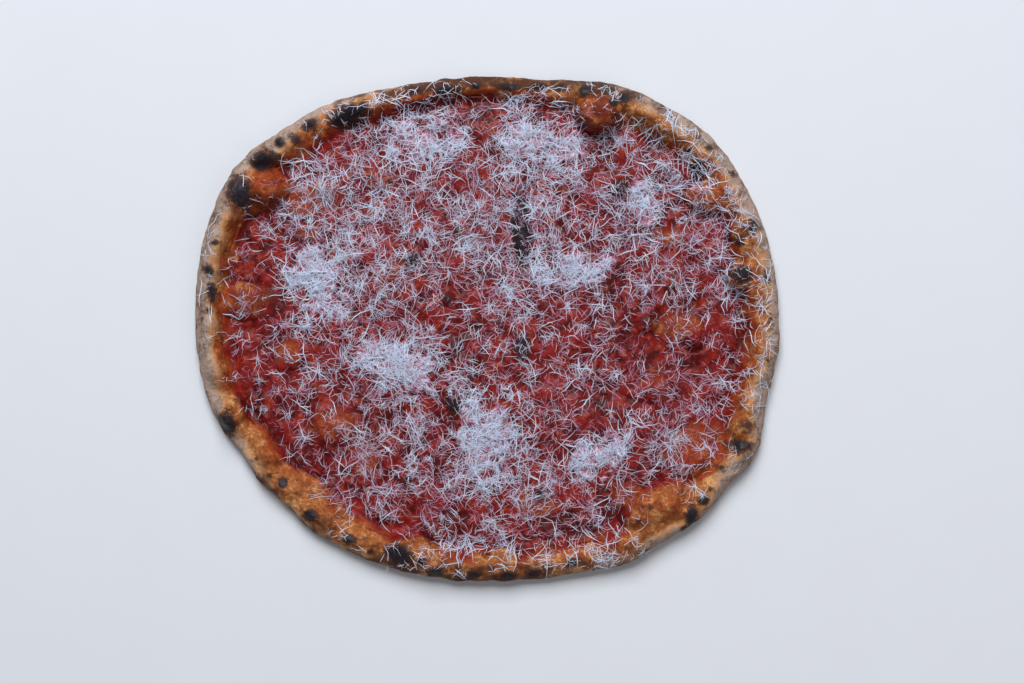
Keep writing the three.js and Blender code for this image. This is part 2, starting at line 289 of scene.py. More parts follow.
# Folds that run over the sauce, as the points of a line, and their size in millimetres
CREASES = [
    [(34, -20), (57, -31), (70, -35), (103, -51)],
    [(-108, -81), (-99, -75)],
    [(100, 54), (112, 60), (122, 68)],
    [(110, 72), (126, 79), (138, 80)],
]
CREASE_HALF_WIDTH = 1.7
CREASE_DEPTH = 1.3

# Where the loose cheese lies thick or thin: x, y, two half sizes, turn, share of shreds added
CHEESE_PATCHES = [
    (-40, 118, 40, 20, 0, 0.12),
    (-84, 112, 14, 10, 0, -0.3),
    (64, 112, 12, 12, 0, -0.25),
    (30, 108, 36, 24, -8, 0.3),
    (-2, 118, 9, 26, 0, -0.3),
    (-70, 72, 34, 36, 0, 0.3),
    (0, 64, 24, 26, 0, 0.34),
    (4, 72, 16, 14, 0, 0.28),
    (34, 74, 12, 12, 0, 0.4),
    (20, 30, 11, 9, 0, 0.4),
    (44, 12, 14, 9, 0, -0.25),
    (-80, 8, 12, 10, 0, -0.35),
    (-22, -8, 10, 10, 0, -0.15),
    (-20, -50, 10, 10, 0, -0.25),
    (-58, -49, 12, 9, 0, 0.2),
    (-42, -88, 26, 14, 0, 0.3),
    (22, -92, 12, 20, 0, 0.25),
    (26, -50, 14, 10, 0, 0.1),
    (75, -50, 14, 11, 0, -0.25),
    (25, -25, 12, 9, 0, 0.25),
    (75, 25, 12, 10, 0, -0.18),
    (98, 50, 10, 8, 0, 0.22),
    (125, 24, 10, 12, 0, 0.3),
    (-50, 50, 12, 10, 0, 0.2),
    (-48, 98, 12, 9, 0, 0.2),
    (-98, 76, 12, 10, 0, 0.25),
    (-100, -58, 14, 14, 0, -0.15),
    (100, -75, 11, 10, 0, -0.18),
    (118, -33, 12, 9, 0, 0.25),
    (108, 70, 14, 10, 0, -0.3),
    (90, 82, 24, 26, 0, 0.3),
    (115, 40, 20, 24, 0, -0.1),
    (-100, 30, 24, 36, 20, 0.15),
    (32, 32, 34, 18, 6, 0.4),
    (60, 88, 30, 20, 0, 0.15),
    (-50, -20, 34, 22, -15, 0.3),
    (2, -72, 24, 32, 8, 0.25),
    (54, -78, 18, 16, 0, 0.15),
    (100, 0, 40, 34, 0, -0.22),
    (40, -35, 34, 34, 0, -0.08),
    (-120, -65, 34, 50, 20, -0.18),
    (-143, 10, 16, 40, 0, -0.28),
    (20, -110, 60, 10, 0, -0.1),
    (-163, 39, 8, 14, 0, 0.3),
    (-78, 137, 22, 9, 15, 0.6),
    (-35, 145, 22, 8, 0, 0.35),
    (25, 141, 34, 8, 0, 0.3),
    (81, 140, 12, 9, 0, 0.35),
    (118, 118, 16, 14, 0, 0.4),
    (135, 98, 16, 14, 0, 0.5),
    (151, 72, 12, 16, 0, 0.6),
    (166, 42, 8, 18, 0, 0.5),
    (168, -5, 8, 26, 0, 0.3),
    (162, -45, 8, 14, 0, 0.2),
    (124, -104, 16, 9, 0, 0.25),
    (72, -137, 13, 7, 0, 0.45),
    (15, -138, 90, 12, 0, 0.24),
    (-158, -42, 8, 12, 0, 0.15),
]

# Mounds of cheese: x, y, two half sizes, turn, height
CHEESE_MOUNDS = [
    (33, 115, 27, 12, -12, 3.6),
    (-102, 29, 14, 27, 22, 3.4),
    (-51, -23, 27, 12, -18, 3.8),
    (0, -68, 16, 24, 10, 3.2),
    (69, -77, 15, 14, 30, 3.6),
    (54, 36, 24, 10, 6, 3.4),
    (96, 78, 8, 14, 12, 3.2),
    (-38, 115, 22, 12, 8, 2.8),
]

# Uneven lumps in layers: rise, in millimetres for a shape and a share for the rest, wavelength
# in millimetres, seed of the pattern
DOUGH_LUMPS = [(1.7, 36, 11), (1.3, 16, 12), (0.3, 8, 42), (0.14, 4, 43)]
EDGE_LUMPS = [(0.25, 9, 41)]
DENT_LUMPS = [(0.3, 12, 44), (0.15, 5, 45)]
SAUCE_LUMPS = [(0.45, 42, 23), (0.5, 15, 24), (0.42, 7, 25), (0.24, 3.6, 26)]
CREASE_BEND_X = [(1.5, 16, 61)]
CREASE_BEND_Y = [(1.5, 16, 62)]
SAUCE_BORDER = [(0.08, 24, 21), (0.05, 9, 22)]
SCORCH_BORDER = [(0.13, 7, 5), (0.08, 3, 6)]
COLOUR_BORDER = [(0.09, 22, 31), (0.06, 8, 32)]
MOUND_BORDER = [(0.42, 15, 54), (0.34, 6, 55)]
MOUND_LUMPS = [(0.4, 3.5, 56)]
MAT_TONES = [(0.4, 2.5, 57)]
CHEESE_LUMPS = [(0.1, 38, 51), (0.12, 16, 52), (0.22, 8, 53), (0.12, 5, 58)]

# How finely the meshes are divided
CRUST_AROUND = 960
CRUST_BASE_RINGS = 9
CRUST_REACH = 1.62  # where the rim's fine rings end, as a share of its width
SAUCE_GRID = 290
MAT_GRID = 34
STATIONS = 5  # along a shred

# The small meshes that are copied, in units of their own
SLAB_DEPTH = 0.25
BAR_RADIUS = 0.25
FLAKE_RADIUS = 0.4

CHEESE_SEED = 7
HERB_SEED = 17
HERB_COUNT = 420
DRY_HEIGHT = 3  # millimetres over the sauce where cheese stays dry


# Sizes and colours that a user would change


def millimetres(name, description, default):
    """A length property in metres, given in millimetres"""
    return bpy.props.FloatProperty(
        name=name, description=description, default=default * MM, min=0, unit="LENGTH", precision=4
    )


def colour(name, description, default):
    """A colour property, given as the screen shows it"""
    return bpy.props.FloatVectorProperty(
        name=name,
        description=description,
        default=[channel / 255 for channel in default],
        size=3,
        min=0,
        max=1,
        subtype="COLOR_GAMMA",
    )


class PizzaSizes(bpy.types.PropertyGroup):
    """Lengths of the pizza"""

    width: millimetres("Width", "Longest width of the pizza's ellipse", 356)
    depth: millimetres("Depth", "Width of the ellipse across the longest", 308)
    base_thickness: millimetres("Base thickness", "Dough under the sauce", 3.6)
    rim_width: millimetres("Rim width", "From the edge to the flat base", 25)
    rim_height: millimetres("Rim height", "Height of the rim's crest", 13.5)
    sauce_thickness: millimetres("Sauce thickness", "Cooked sauce on the base", 1.6)
    shred_length: millimetres("Shred length", "Middle length of a long cheese shred", 7)
    shred_width: millimetres("Shred width", "Width of a long cheese shred", 0.48)


class PizzaColours(bpy.types.PropertyGroup):
    """Colours of the pizza's finishes"""

    flour: colour("Floured dough", "Pale dough on the rim's outer side", (157, 133, 119))
    dusty: colour("Dusty dough", "Grey-brown mottles of the floured dough", (98, 74, 62))
    butter: colour("Yellow crust", "Palest mottles of the baked dough", (190, 138, 88))
    golden: colour("Golden crust", "Baked dough on the crest", (146, 82, 42))
    tan: colour("Tan crust", "Browner mottles of the crest", (90, 42, 24))
    orange: colour("Stained crust", "Dough that sauce has coloured", (134, 50, 22))
    russet: colour("Russet crust", "Darker mottles of the stained dough", (88, 30, 14))
    brown: colour("Browned crust", "Edges of the burnt spots", (62, 36, 27))
    char: colour("Char", "Burnt dough", (34, 26, 29))
    # The ash colour is partly real grey ash and partly painted glints that stand for the shine of the
    # char
    ash_and_glint: colour("Ash", "Grey bloom on burnt dough", (66, 60, 72))
    sauce: colour("Sauce", "Cooked tomato sauce", (122, 24, 20))
    deep_sauce: colour("Deep sauce", "Sauce where it lies thick", (62, 8, 7))
    oil: colour("Oily sauce", "Sauce thinned by oil", (146, 54, 24))
    cheese: colour("Cheese", "Grated hard cheese", (210, 216, 240))
    melted: colour("Melted cheese", "Cheese that has sunk in the sauce", (166, 103, 130))
    herb: colour("Herbs", "Dried herb flakes", (44, 34, 20))
    floor: colour("Floor", "The plain ground", (204, 204, 207))


# Shape of the dough, the sauce and the mounds, in millimetres


def sizes():
    """The sizes in millimetres, by name"""
    group = bpy.context.scene.pizza_sizes
    return {name: getattr(group, name) / MM for name in group.__annotations__}


def swell(swells, angle):
    """Sum of smooth bumps around their own directions"""
    total = np.zeros_like(angle)
    for at, spread, rise in swells:
        turn = np.angle(np.exp(1j * (angle - math.radians(at))))
        total += rise * np.exp(-((turn / math.radians(spread)) ** 2))
    return total


def around(radius, angle):
    """The place at a distance and direction from the middle"""
    return radius * np.cos(angle), radius * np.sin(angle)


def turned(along, aside, turn, x, y):
    """The place so far along and aside of a direction from x and y"""
    cos, sin = np.cos(turn), np.sin(turn)
    return x + along * cos - aside * sin, y + along * sin + aside * cos


def edge_radius(size, angle):
    """Distance from the middle to the pizza's edge"""
    across = np.cos(angle) / (size["width"] / 2)
    up = np.sin(angle) / (size["depth"] / 2)
    return 1 / np.hypot(across, up) + swell(OUTLINE_SWELLS, angle)


def rim_width(size, angle):
    """From the edge to the flat base"""
    return size["rim_width"] + swell(RIM_WIDTH_SWELLS, angle)


def rim_height(size, angle):
    """Height of the rim's crest"""
    waver = 0.7 * np.sin(7 * angle + 1) + 0.5 * np.sin(12 * angle)
    return size["rim_height"] + swell(RIM_HEIGHT_SWELLS, angle) + waver


def rim_share(size, x, y):
    """0 on the edge, 1 where the rim meets the base, more further in"""
    angle = np.arctan2(y, x)
    return (edge_radius(size, angle) - np.hypot(x, y)) / rim_width(size, angle)


def smoothstep(value, low, high):
    """A soft step from 0 to 1"""
    share = np.clip((value - low) / (high - low), 0, 1)
    return share * share * (3 - 2 * share)


def lumps(x, y, wavelength, seed, z=0):
    """Smooth uneven lumps of one size, mostly from -1 to 1"""
    random = np.random.default_rng(seed)
    waves = 14
    direction = random.normal(size=(waves, 3))
    direction /= np.linalg.norm(direction, axis=1)[:, None]
    pitch = 2 * math.pi / (wavelength * random.uniform(0.7, 1.5, waves))
    phase = random.uniform(0, 2 * math.pi, waves)
    total = np.zeros(np.broadcast(x, y).shape)
    for (along_x, along_y, along_z), rate, start in zip(direction, pitch, phase):
        total += np.cos(rate * (along_x * x + along_y * y + along_z * z) + start)
    return total / math.sqrt(waves)


def layered(layers, x, y, z=0):
    """Sum of layers of lumps"""
    return sum(rise * lumps(x, y, wavelength, seed, z) for rise, wavelength, seed in layers)


def oval_share(oval, x, y):
    """0 in the middle of a turned oval, 1 on its edge"""
    turn = math.radians(oval[4])
    along = (x - oval[0]) * math.cos(turn) + (y - oval[1]) * math.sin(turn)
    aside = (y - oval[1]) * math.cos(turn) - (x - oval[0]) * math.sin(turn)
    return np.hypot(along / oval[2], aside / oval[3])


def rim_section(size, x, y):
    """Height of the dough's top without its blisters"""
    angle = np.arctan2(y, x)
    height = rim_height(size, angle)
    share = rim_share(size, x, y)
    base = size["base_thickness"]
    fall = np.clip((share - CREST_SHARE) / (1 - CREST_SHARE), 0, 1)
    inner = base + (height - base) * (1 + np.cos(math.pi * fall)) / 2
    out = np.clip(1 - share / CREST_SHARE, 0, 1)
    widest = height * WIDEST_SHARE
    outer = widest + (height - widest) * np.sqrt(1 - out**2)
    return np.where(share >= CREST_SHARE, inner, outer)


def raise_blisters(ground, blisters, size, x, y, fullness=1, blend=2.2):
    """The ground with blisters blown up out of it, softly joined over a height of blend"""
    top = ground
    root = size["base_thickness"] / 2
    foot = 1.04  # where a dome comes down, as a share of its half sizes
    for blister in blisters:
        share = oval_share(blister, x, y)
        dome = root + (blister[5] - root) * np.sqrt(np.clip(1 - (share / foot) ** 2, 0, 1))
        dome = ground + (dome - ground) * fullness
        gap = np.clip(0.5 + 0.5 * (dome - top) / blend, 0, 1)
        joined = top * (1 - gap) + dome * gap + blend * gap * (1 - gap)
        top = np.where(share < 1.5, joined, top)
    return top


def crease(x, y):
    """1 in the groove of a fold in the sauce, 0 a few millimetres away"""
    nearest = np.full(np.broadcast(x, y).shape, 99.0)
    bent_x = x + layered(CREASE_BEND_X, x, y)
    bent_y = y + layered(CREASE_BEND_Y, x, y)
    for line in CREASES:
        for (ax, ay), (bx, by) in zip(line, line[1:]):
            along = (bent_x - ax) * (bx - ax) + (bent_y - ay) * (by - ay)
            along = np.clip(along / ((bx - ax) ** 2 + (by - ay) ** 2), 0, 1)
            away = np.hypot(bent_x - ax - along * (bx - ax), bent_y - ay - along * (by - ay))
            nearest = np.minimum(nearest, away)
    return np.exp(-((nearest / CREASE_HALF_WIDTH) ** 2))


def scorch(x, y):
    """How burnt the top is: brown from about 0.4, black over about 0.7"""
    burn = np.zeros(np.broadcast(x, y).shape)
    ragged = layered(SCORCH_BORDER, x, y)
    for spot in SCORCHES:
        share = oval_share(spot, x, y) + ragged
        burn = np.maximum(burn, spot[5] * np.clip(1.2 - 0.6 * share, 0, 1.1))
    return burn


def sauce_relief(x, y):
    """Lumps, folds and puffed burnt spots of the sauce"""
    relief = layered(SAUCE_LUMPS, x, y) - CREASE_DEPTH * crease(x, y)
    return relief + 0.5 * smoothstep(scorch(x, y), 0.3, 1)


def crust_top(size, x, y):
    """Height of the dough where it shows"""
    share = rim_share(size, x, y)
    top = raise_blisters(rim_section(size, x, y), RIM_BLISTERS, size, x, y)
    top = raise_blisters(top, BASE_BLISTERS, size, x, y, fullness=0.65)
    on_rim = smoothstep(share, 0.02, 0.35) * smoothstep(share, 1.7, 1)
    near_sauce = smoothstep(share, 0.62, 0.82) * smoothstep(share, 1.4, 1.1)
    puff = layered(DOUGH_LUMPS, x, y) + 0.9 * smoothstep(scorch(x, y), 0.25, 1)
    top = top + on_rim * puff + 0.9 * sauce_relief(x, y) * near_sauce
    ceiling = CAD_BOX[1][2] / MM - 2  # the highest blisters are pressed down above it
    return np.where(top > ceiling, ceiling + 0.4 * (top - ceiling), top)


def sauce_top(size, x, y):
    """Height of the sauce, which sinks under the dough at its border"""
    share = rim_share(size, x, y)
    bed = raise_blisters(rim_section(size, x, y), BASE_BLISTERS, size, x, y, fullness=0.8, blend=3)
    full = smoothstep(share + layered(SAUCE_BORDER, x, y), 0.86, 1.25)
    relief = sauce_relief(x, y) * (0.25 + 0.75 * full)
    under = 0.9
    return bed - under + (under + size["sauce_thickness"]) * full + relief


def mound_rise(x, y):
    """Height of the matted cheese over the sauce"""
    ragged = layered(MOUND_BORDER, x, y)
    pressed = 0.34  # the mat's share of a mound's height
    rise = np.zeros(np.broadcast(x, y).shape)
    for mound in CHEESE_MOUNDS:
        share = np.maximum(oval_share(mound, x, y) + ragged, 0)
        rise = np.maximum(rise, pressed * mound[5] * np.sqrt(np.clip(1 - share**2, 0, 1)))
    return rise * (1 + layered(MOUND_LUMPS, x, y))


# Meshes


def read_points(mesh):
    """The vertices of a mesh as an array, in the units it was made in"""
    points = np.empty(len(mesh.vertices) * 3)
    mesh.vertices.foreach_get("co", points)
    return points.reshape(-1, 3)


def write_points(mesh, points):
    """Puts an array in millimetres back in a mesh, with the outline's middle at the CAD box's"""
    steps = 2000
    angle = np.linspace(0, 2 * math.pi, steps)
    across, up = around(edge_radius(sizes(), angle), angle)
    middle = np.array([across.max() + across.min(), up.max() + up.min(), 0]) / 2
    low, high = (np.array(corner) / MM for corner in CAD_BOX)
    inside = np.clip(points - middle, low + SKIN, high - SKIN)
    mesh.vertices.foreach_set("co", (inside * MM).ravel())
    mesh.update()


def paint(mesh, name, values):
    """Stores a number for each vertex, which a finish can read"""
    layer = mesh.attributes.new(name, "FLOAT", "POINT")
    layer.data.foreach_set("value", np.asarray(values, dtype=np.float32))


def piece_from(bm, name, smooth=True):
    """Makes an object of a bmesh"""
    for face in bm.faces:
        face.smooth = smooth
    mesh = bpy.data.meshes.new(name)
    bm.to_mesh(mesh)
    bm.free()
    piece = bpy.data.objects.new(name, mesh)
    bpy.context.scene.collection.objects.link(piece)
    return piece


def finish_piece(piece, material, slot_name, *nodes):
    """Gives a piece its material and its place in the frame"""
    piece.data.materials.append(material)
    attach(piece, "root")
    if nodes:
        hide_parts(*nodes)


def slab_template(segments):
    """A square slab from -1 to 1 with a fine grid on top and a wall round it"""
    bm = bmesh.new()
    bmesh.ops.create_grid(bm, x_segments=segments, y_segments=segments, size=1)
    border = [edge for edge in bm.edges if edge.is_boundary]
    wall = bmesh.ops.extrude_edge_only(bm, edges=border)["geom"]
    low = [element for element in wall if isinstance(element, bmesh.types.BMVert)]
    bmesh.ops.translate(bm, vec=(0, 0, -SLAB_DEPTH), verts=low)
    rim = [edge for edge in wall if isinstance(edge, bmesh.types.BMEdge) and edge.is_boundary]
    bmesh.ops.edgeloop_fill(bm, edges=rim)
    bmesh.ops.recalc_face_normals(bm, faces=bm.faces)
    return bm


def drawn_round(u, v):
    """Ring from 0 to 1 and direction of a slab's points, once its square grid is drawn round"""
    ring = np.maximum(np.abs(u), np.abs(v))
    wide = np.abs(u) >= np.abs(v)
    with np.errstate(divide="ignore", invalid="ignore"):
        slant = np.nan_to_num(math.pi / 4 * np.where(wide, v / u, u / v))
    sideways = slant + (u < 0) * math.pi
    upright = math.pi / 2 - slant + (v < 0) * math.pi
    return ring, np.where(wide, sideways, upright)


def topping_marks(mesh, size, x, y):
    """Paints on a mesh how much sauce, flour, scorch and bake (with some painted light) each place
    has
    """
    angle = np.arctan2(y, x)
    share = rim_share(size, x, y)
    ragged = layered(COLOUR_BORDER, x, y)
    wet = share + ragged + swell(SAUCE_SWELLS, angle)
    stain = smoothstep(wet, 0.38, 0.86)
    covered = smoothstep(wet, 0.64, 1)
    for oval in RIM_BLISTERS:
        inside = smoothstep(oval_share(oval, x, y) + ragged, 1.05, 0.7)
        stain = stain * (1 - inside) + oval[6] * inside
        covered = covered * (1 - inside * min(1, 10 * (1 - oval[6])))
    for oval in THIN_SAUCE:
        bare = smoothstep(oval_share(oval, x, y) + ragged, 1.1, 0.4)
        covered = covered * (1 - oval[5] * bare)
    reach = FLOUR_REACH + swell(FLOUR_SWELLS, angle)
    paint(mesh, "stain", stain)
    paint(mesh, "sauce", covered)
    paint(mesh, "flour", np.clip(0.5 + 3 * (reach - share - 0.6 * ragged), 0, 1))
    # The bake mark also holds painted light: paler crust in the south-east, where the lamp gives less
    # light
    bake = swell(BAKE_AND_LIGHT_SWELLS, angle) * smoothstep(share, 0.7, 0.3)
    for oval in BROWN_PATCHES:
        bake = bake + oval[5] * smoothstep(oval_share(oval, x, y) + ragged, 1.05, 0.6)
    paint(mesh, "bake", bake)
    paint(mesh, "scorch", scorch(x, y))


def build_crust():
    """The dough disc: a grid rolled round into a spindle, then shaped for each direction"""
    size = sizes()
    # Rings from the middle of the underside, round the foot and the rim, to the middle on top
    under = [("base", share) for share in (0, 0.4, 0.75)]
    under += [("foot", inset) for inset in (FOOT_INSET, 6.4, 5, 3.7, 2.6, 1.6, 0.8, 0.25)]
    rim = [("rim", share) for share in (0, 0.007, 0.025, 0.05, 0.08)]
    rim += [("rim", share) for share in np.arange(0.11, 1.6, 0.029)]
    base = [("inner", share) for share in np.linspace(1, 0, CRUST_BASE_RINGS)]
    stations = under + rim + base
    last = len(stations) - 1
    bm = bmesh.new()
    bmesh.ops.create_grid(bm, x_segments=CRUST_AROUND, y_segments=last, size=1)
    for vert in bm.verts:
        turn = math.pi * vert.co.x
        station = round((vert.co.y + 1) / 2 * last)
        radius = min(station, last - station)
        vert.co = (radius * math.cos(turn), radius * math.sin(turn), station)
    bmesh.ops.remove_doubles(bm, verts=bm.verts, dist=1e-3)
    bmesh.ops.recalc_face_normals(bm, faces=bm.faces)
    crust = piece_from(bm, "baked_crust")
    raw = read_points(crust.data)
    angle = np.arctan2(raw[:, 1], raw[:, 0])
    station = np.rint(raw[:, 2]).astype(int)
    kinds = np.array([kind for kind, _ in stations])[station]
    amount = np.array([value for _, value in stations])[station]
    small = 60  # radius of the circle whose lumps the edge has
    edge = edge_radius(size, angle) + layered(EDGE_LUMPS, *around(small, angle))
    width = rim_width(size, angle)
    radius = np.select(
        [kinds == "base", kinds == "foot", kinds == "rim", kinds == "inner"],
        [
            (edge - FOOT_INSET) * amount,
            edge - amount,
            edge - width * amount,
            (edge - CRUST_REACH * width) * amount,
        ],
    )
    x, y = around(radius, angle)
    tuck = np.clip(1 - amount / FOOT_INSET, 0, 1)
    foot = rim_height(size, angle) * WIDEST_SHARE * (1 - np.sqrt(1 - tuck**2))
    z = np.select([kinds == "base", kinds == "foot"], [0 * radius, foot], crust_top(size, x, y))
    wall = smoothstep(rim_share(size, x, y), 0.2, 0) * smoothstep(z, 0.2, 2)
    dent = wall * layered(DENT_LUMPS, x, y, z)
    topping_marks(crust.data, size, x, y)
    underneath = (kinds == "base") | (kinds == "foot")
    paint(crust.data, "underside", underneath * smoothstep(z, 4, 0.5))
    dent_x, dent_y = around(dent, angle)
    write_points(crust.data, np.column_stack([x + dent_x, y + dent_y, z]))
    finish_piece(crust, dough_finish("baked dough"), "crust", "crust")


def build_sauce():
    """The sauce: a square slab drawn round to the rim, with its wall down in the dough"""
    size = sizes()
    sauce = piece_from(slab_template(SAUCE_GRID), "tomato_sauce_layer")
    raw = read_points(sauce.data)
    ring, angle = drawn_round(raw[:, 0], raw[:, 1])
    reach = edge_radius(size, angle) - 0.76 * rim_width(size, angle)
    x, y = around(ring * reach, angle)
    low = raw[:, 2] < -SLAB_DEPTH / 2
    z = np.where(low, size["base_thickness"] / 2, sauce_top(size, x, y))
    topping_marks(sauce.data, size, x, y)
    paint(sauce.data, "underside", 0 * x)
    write_points(sauce.data, np.column_stack([x, y, z]))
    finish_piece(sauce, dough_finish("tomato sauce"), "sauce", "tomato_sauce")


# Cheese and herbs


class Ground:
    """Heights of what lies on the pizza so far, on a fine square grid in millimetres"""

    def __init__(self, cell=0.7):
        size = sizes()
        self.cell = cell
        self.low = np.array([-size["width"] / 2, -size["depth"] / 2]) - OVERHANG
        self.count = np.ceil(-2 * self.low / cell).astype(int) + 1
        x = self.low[0] + cell * np.arange(self.count[0])[:, None]
        y = self.low[1] + cell * np.arange(self.count[1])[None, :]
        x, y = np.broadcast_arrays(x, y)
        self.bare = np.maximum(crust_top(size, x, y), sauce_top(size, x, y))
        self.height = self.bare + mound_rise(x, y)

    def cells(self, x, y):
        """Grid cells of points"""
        i = np.rint((x - self.low[0]) / self.cell).astype(int)
        j = np.rint((y - self.low[1]) / self.cell).astype(int)
        return np.clip(i, 0, self.count[0] - 1), np.clip(j, 0, self.count[1] - 1)


def cheese_share(x, y):
    """How thick the loose shreds lie, from 0 to 1"""
    share = rim_share(sizes(), x, y)
    inside = 0.12 + 0.88 * smoothstep(share, 0.6, 1.15)
    thick = inside * (0.3 + layered(CHEESE_LUMPS, x, y))
    for patch in CHEESE_PATCHES:
        thick += patch[5] * np.exp(-(oval_share(patch, x, y) ** 2))
    high = 18  # shreds slip off the blisters that stand up higher, in millimetres
    for blister in RIM_BLISTERS:
        if blister[5] > high:
            thick = thick * (1 - 0.9 * smoothstep(oval_share(blister, x, y), 1.1, 0.7))
    thick = thick * (1 - 0.62 * smoothstep(scorch(x, y), 0.55, 0.9))
    return np.clip(thick, 0.02, 1) * smoothstep(share, 0.04, 0.2)


def soaked_share(x, y):
    """How thick the shreds lie that have sunk in the sauce, from 0 to 1"""
    return (0.2 + 0.8 * cheese_share(x, y)) * smoothstep(rim_share(sizes(), x, y), 0.75, 1)


def mound_share(x, y):
    """How thick the mounded shreds lie, from 0 to 1"""
    share = np.full(np.broadcast(x, y).shape, 9.0)
    for mound in CHEESE_MOUNDS:
        share = np.minimum(share, oval_share(mound, x, y))
    return smoothstep(share + layered(MOUND_BORDER, x, y), 1.35, 0.25)


def drawn_places(count, chance, random, tuft):
    """Random places in small tufts on the pizza, more of them where the chance is high"""
    size = sizes()
    across, up = size["width"] / 2, size["depth"] / 2 + OVERHANG
    middles = math.ceil(count / tuft)
    kept = np.empty((0, 2))
    while len(kept) < middles:
        x = random.uniform(-across, across, count)
        y = random.uniform(-up, up, count)
        keep = (random.uniform(size=count) < chance(x, y)) & (rim_share(size, x, y) > 0.1)
        kept = np.vstack([kept, np.column_stack([x, y])[keep]])
    places = np.repeat(kept[:middles], tuft, axis=0)[:count]
    spread = 2 * np.repeat(random.uniform(0.3, 1.6, (middles, 1)), tuft, axis=0)[:count]
    places += spread * random.normal(0, 1, places.shape)
    edge = edge_radius(size, np.arctan2(places[:, 1], places[:, 0])) - 1
    return places * np.minimum(1, edge / np.hypot(places[:, 0], places[:, 1]))[:, None]


def copies_of(template, count, name, smooth=True):
    """Joins many copies of a small bmesh in one piece, stacked one unit apart"""
    source = piece_from(template, name, smooth)
    array = source.modifiers.new("copies", "ARRAY")
    array.count = count
    array.use_relative_offset = False
    array.use_constant_offset = True
    array.constant_offset_displace = (0, 0, 1)
    graph = bpy.context.evaluated_depsgraph_get()
    joined = bpy.data.meshes.new_from_object(source.evaluated_get(graph))
    source.modifiers.clear()
    source.data = joined
    return source


def read_copies(piece):
    """The copy that each vertex of a stack is in, and the vertices as in the first copy"""
    points = read_points(piece.data)
    copy = np.rint(points[:, 2]).astype(int)
    points[:, 2] -= copy
    return copy, points


def build_mats():
    """The matted cheese at the heart of each mound: round slabs pressed on the sauce"""
    mats = copies_of(slab_template(MAT_GRID), len(CHEESE_MOUNDS), "matted_cheese")
    copy, raw = read_copies(mats)
    ring, angle = drawn_round(raw[:, 0], raw[:, 1])
    middle_x, middle_y, along, aside, turn, _ = np.array(CHEESE_MOUNDS, dtype=float)[copy].T
    u, v = around(1.15 * ring, angle)  # past the mound's edge, where the mat is under the sauce
    x, y = turned(u * along, v * aside, np.radians(turn), middle_x, middle_y)
    low = raw[:, 2] < -SLAB_DEPTH / 2
    z = sauce_top(sizes(), x, y) - 0.3 + 1.1 * mound_rise(x, y) - 1.2 * low
    paint(mats.data, "tone", 0.5 + layered(MAT_TONES, x, y))
    paint(mats.data, "lift", mound_rise(x, y) / DRY_HEIGHT)
    write_points(mats.data, np.column_stack([x, y, z]))
    finish_piece(mats, cheese_finish("matted cheese", 0.6, specks=3), "cheese")


def shred_template():
    """One straight shred: a three-sided bar along X from -1 to 1, cut at its stations"""
    bm = bmesh.new()
    bmesh.ops.create_cone(
        bm, cap_ends=True, cap_tris=False, segments=3, radius1=BAR_RADIUS, radius2=BAR_RADIUS, depth=2
    )
    lying = Matrix.Rotation(math.pi / 6, 3, "X") @ Matrix.Rotation(math.pi / 2, 3, "Y")
    bmesh.ops.rotate(bm, cent=(0, 0, 0), matrix=lying, verts=bm.verts)
    along = [edge for edge in bm.edges if abs(edge.verts[0].co.x - edge.verts[1].co.x) > 1]
    bmesh.ops.subdivide_edges(bm, edges=along, cuts=STATIONS - 2, use_grid_fill=True)
    return bm


def shred_lines(random, places, length, width, curl):
    """Curled lines of shreds seen from above, a row of stations each, and the width of each"""
    size = sizes()
    count = len(places)
    stations = np.linspace(-1, 1, STATIONS)
    turn = random.uniform(0, math.pi, count)
    half = size["shred_length"] * length * random.lognormal(0, 0.42, count) / 2
    half = np.clip(half, 1, 9)
    curl = curl * np.where(random.uniform(size=count) < 0.25, 2.2, 0.8)  # one in four curls up
    bend = curl * random.normal(0, 1, count) * half
    twist = 0.5 * curl * random.normal(0, 1, count) * half
    width = size["shred_width"] * width * np.clip(random.lognormal(0, 0.28, count), 0.65, 1.45)
    kinks = 0.06 * half[:, None] * random.normal(0, 1, (count, STATIONS))
    aside = bend[:, None] * (stations**2 - 0.4) + twist[:, None] * stations**3 + kinks
    ahead = half[:, None] * stations
    x, y = turned(ahead, aside, turn[:, None], places[:, :1], places[:, 1:])
    return x, y, width


def settle(ground, x, y, width, sink):
    """Heights of shreds laid one by one, so that they bridge dips, cross and pile up"""
    z = np.empty_like(x)
    between = np.linspace(0, STATIONS - 1, 17)
    low = np.minimum(between.astype(int), STATIONS - 2)
    part = between - low
    for k in range(len(x)):
        under = ground.height[ground.cells(x[k], y[k])]
        bridged = under.copy()
        bridged[1:-1] = np.maximum(under[1:-1], (under[:-2] + under[2:]) / 2)
        z[k] = 0.4 * under + 0.6 * bridged + width[k] * (0.3 - sink)
        fx, fy, fz = ((line[k][low] * (1 - part) + line[k][low + 1] * part) for line in (x, y, z))
        cell = ground.cells(fx, fy)
        ground.height[cell] = np.maximum(ground.height[cell], fz + width[k] * 0.15)
    return z


